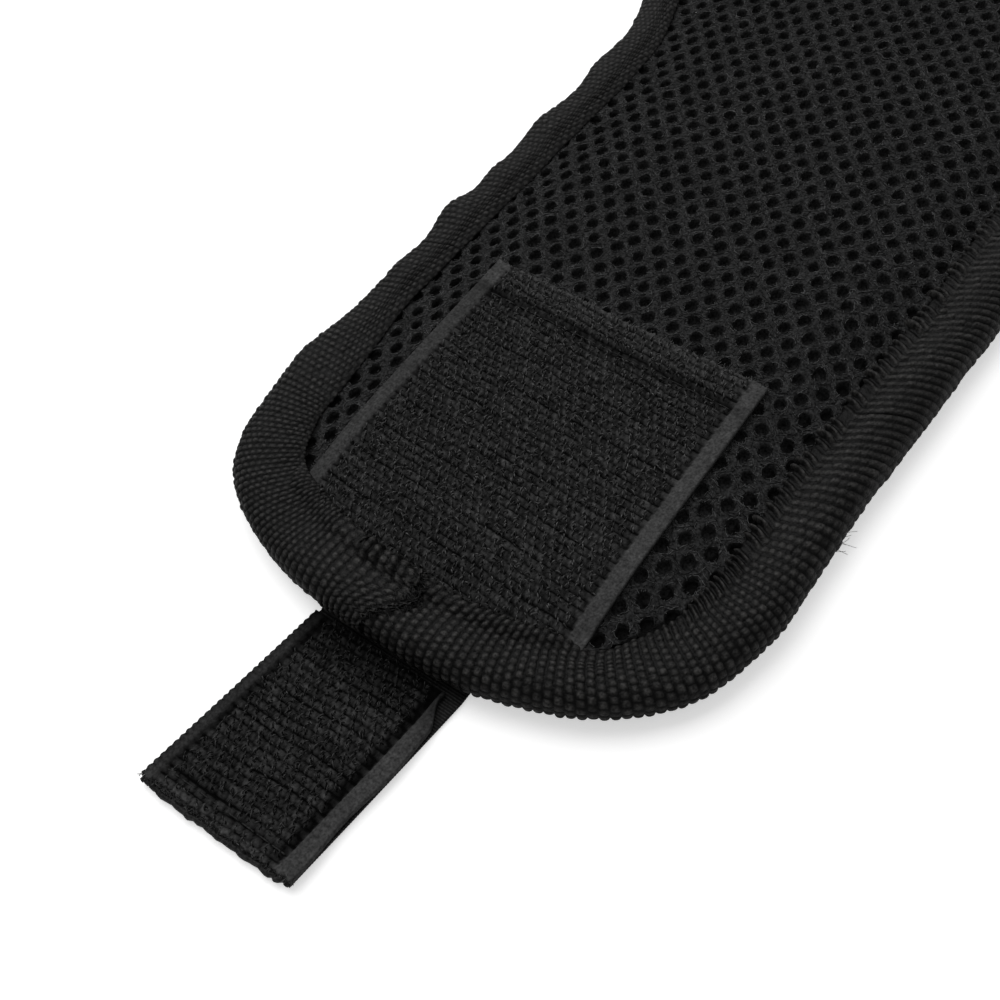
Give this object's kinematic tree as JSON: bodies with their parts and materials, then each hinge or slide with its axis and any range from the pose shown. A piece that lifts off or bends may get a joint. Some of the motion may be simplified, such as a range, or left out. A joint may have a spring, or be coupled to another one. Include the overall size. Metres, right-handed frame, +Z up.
{
  "type": "magnetic wristband",
  "caption": "Padded fabric band that wraps round a wrist and holds screws and bits on hidden magnets, with a mesh lining, a bound edge and a hook-and-loop closure.",
  "frame": {"origin": "centre of the whole length, tab included, on the centre line, on the surface it lies on", "axes": "+X along the band from the tab to the loop end, +Y across it, +Z up through the mesh lining"},
  "size_m": [0.371, 0.087, 0.0088],
  "materials": {
    "air_mesh": "knitted spacer mesh",
    "foam": "closed foam",
    "shell_cloth": "plain woven nylon",
    "binding_tape": "ribbed woven tape",
    "magnet_plating": "nickel plated",
    "hook_tape": "woven hook tape",
    "loop_tape": "brushed loop pile",
    "webbing": "flat woven webbing"
  },
  "bodies": {
    "band_1": {"outer_shell_1": "shell_cloth", "foam_pad_1": "foam", "mesh_lining_1": "air_mesh", "binding_end_1": "binding_tape", "hook_patch_1": "hook_tape", "tab_anchor": "webbing"},
    "band_2": {"outer_shell_2": "shell_cloth", "foam_pad_2": "foam", "mesh_lining_2": "air_mesh", "binding_left_2": "binding_tape", "binding_right_2": "binding_tape", "hook_patch_2": "hook_tape"},
    "band_3": {"outer_shell_3": "shell_cloth", "foam_pad_3": "foam", "mesh_lining_3": "air_mesh", "binding_left_3": "binding_tape", "binding_right_3": "binding_tape", "magnet_3_1": "magnet_plating", "magnet_3_2": "magnet_plating", "magnet_3_3": "magnet_plating"},
    "band_4": {"outer_shell_4": "shell_cloth", "foam_pad_4": "foam", "mesh_lining_4": "air_mesh", "binding_left_4": "binding_tape", "binding_right_4": "binding_tape", "magnet_4_1": "magnet_plating", "magnet_4_2": "magnet_plating", "magnet_4_3": "magnet_plating"},
    "band_5": {"outer_shell_5": "shell_cloth", "foam_pad_5": "foam", "mesh_lining_5": "air_mesh", "binding_left_5": "binding_tape", "binding_right_5": "binding_tape", "magnet_5_1": "magnet_plating", "magnet_5_2": "magnet_plating", "magnet_5_3": "magnet_plating"},
    "band_6": {"outer_shell_6": "shell_cloth", "foam_pad_6": "foam", "mesh_lining_6": "air_mesh", "binding_left_6": "binding_tape", "binding_right_6": "binding_tape", "magnet_6_1": "magnet_plating", "magnet_6_2": "magnet_plating", "magnet_6_3": "magnet_plating"},
    "band_7": {"outer_shell_7": "shell_cloth", "foam_pad_7": "foam", "mesh_lining_7": "air_mesh", "binding_left_7": "binding_tape", "binding_right_7": "binding_tape", "loop_strip_7": "loop_tape"},
    "band_8": {"outer_shell_8": "shell_cloth", "foam_pad_8": "foam", "mesh_lining_8": "air_mesh", "binding_end_8": "binding_tape", "loop_strip_8": "loop_tape"},
    "tab": {"tab_webbing": "webbing", "tab_hook_tape": "hook_tape"}
  },
  "joints": [
    {"name": "bend_1", "type": "hinge", "parent": "band_2", "child": "band_1", "pos_m": [-0.112, 0, 0.0088], "axis": [0, 1, 0], "range_deg": [0, 53]},
    {"name": "bend_2", "type": "hinge", "parent": "band_3", "child": "band_2", "pos_m": [-0.0695, 0, 0.0072], "axis": [0, 1, 0], "range_deg": [0, 58]},
    {"name": "bend_3", "type": "hinge", "parent": "band_4", "child": "band_3", "pos_m": [-0.027, 0, 0.0072], "axis": [0, 1, 0], "range_deg": [0, 51]},
    {"name": "bend_4", "type": "hinge", "parent": "band_5", "child": "band_4", "pos_m": [0.0155, 0, 0.0072], "axis": [0, 1, 0], "range_deg": [0, 57]},
    {"name": "wrap", "type": "hinge", "parent": "band_5", "child": "band_6", "pos_m": [0.058, 0, 0.0072], "axis": [0, -1, 0], "range_deg": [0, 65]},
    {"name": "bend_6", "type": "hinge", "parent": "band_6", "child": "band_7", "pos_m": [0.1005, 0, 0.0072], "axis": [0, -1, 0], "range_deg": [0, 65]},
    {"name": "bend_7", "type": "hinge", "parent": "band_7", "child": "band_8", "pos_m": [0.143, 0, 0.0072], "axis": [0, -1, 0], "range_deg": [0, 63]},
    {"name": "tab_lift", "type": "hinge", "parent": "band_1", "child": "tab", "pos_m": [-0.1547, 0, 0.0024], "axis": [0, 1, 0], "range_deg": [0, 50]}
  ],
  "couplings": [
    {"joint": "bend_1", "follows": "wrap", "ratio": 0.8153},
    {"joint": "bend_2", "follows": "wrap", "ratio": 0.8923},
    {"joint": "bend_3", "follows": "wrap", "ratio": 0.7846},
    {"joint": "bend_4", "follows": "wrap", "ratio": 0.8769},
    {"joint": "bend_6", "follows": "wrap", "ratio": 1},
    {"joint": "bend_7", "follows": "wrap", "ratio": 0.9692}
  ]
}
